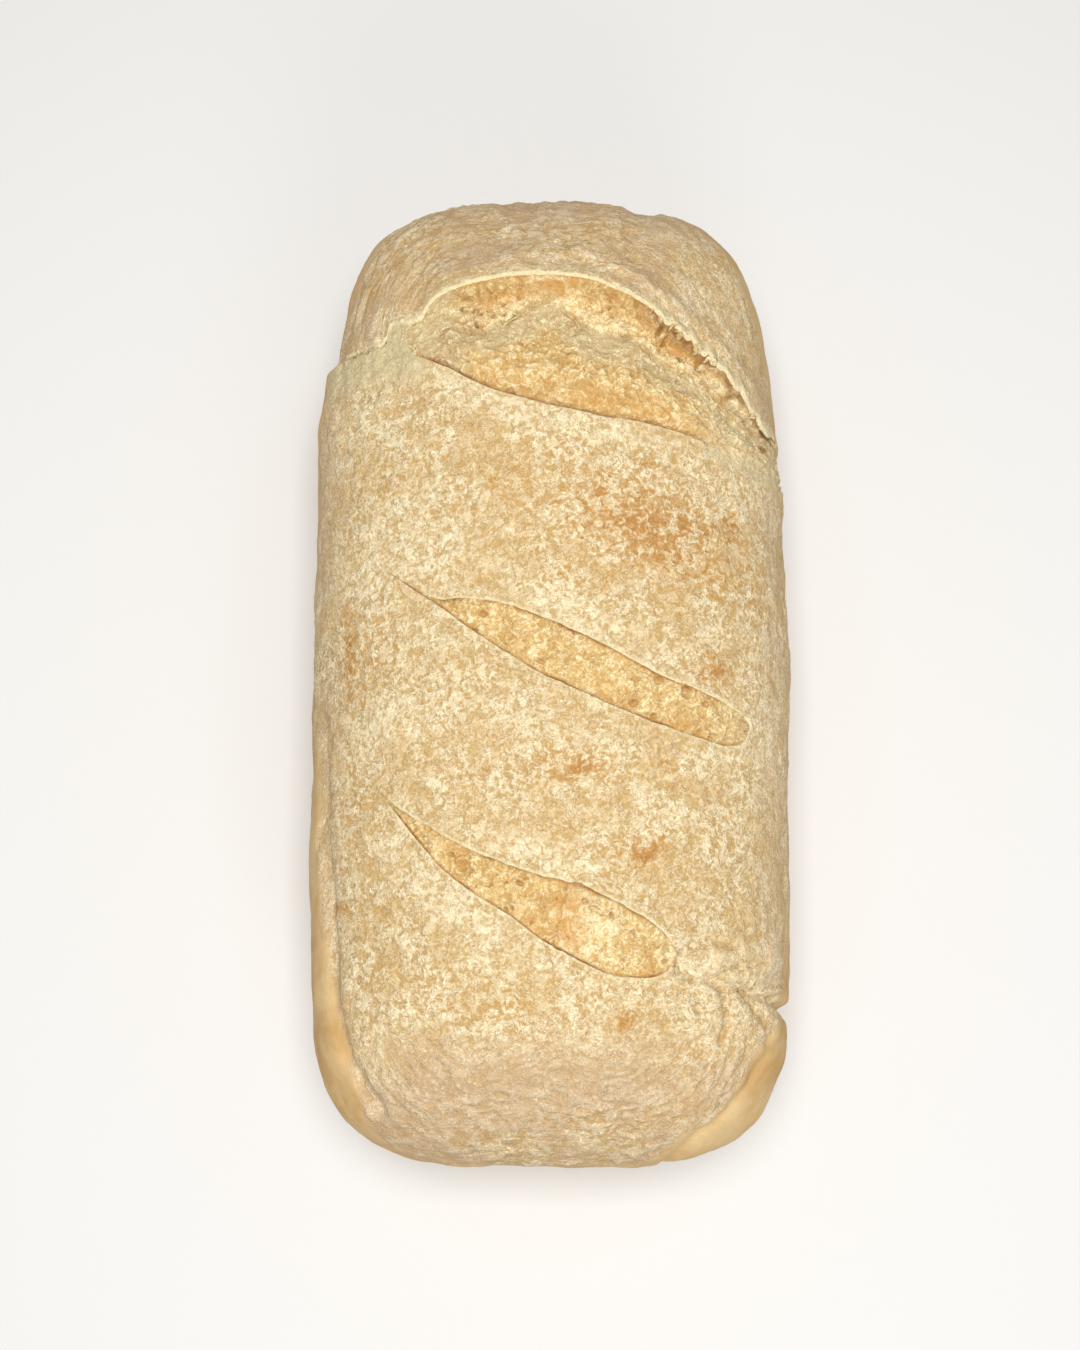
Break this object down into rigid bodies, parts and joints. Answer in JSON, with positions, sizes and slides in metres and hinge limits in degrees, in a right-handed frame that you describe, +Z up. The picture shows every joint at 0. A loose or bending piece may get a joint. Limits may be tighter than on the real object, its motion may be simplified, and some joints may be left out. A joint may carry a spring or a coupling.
{
  "type": "tin loaf",
  "caption": "Whole oblong loaf of bread baked in a tin: domed floury crust with scored cuts and a burst under a raised ear, straight sides and a flat base.",
  "frame": {"origin": "centre of the bounding box's bottom face, on the flat base", "axes": "+Y along the loaf towards the end with the burst and the ear, +Z up, +X to the right when looking along +Y"},
  "size_m": [0.122, 0.25, 0.1002],
  "materials": {
    "crust": "baked bread crust, matte and dusted with flour, cream to golden brown, with pale yellow crumb in the cuts"
  },
  "bodies": {
    "root": {"tin_loaf": "crust"}
  },
  "joints": []
}
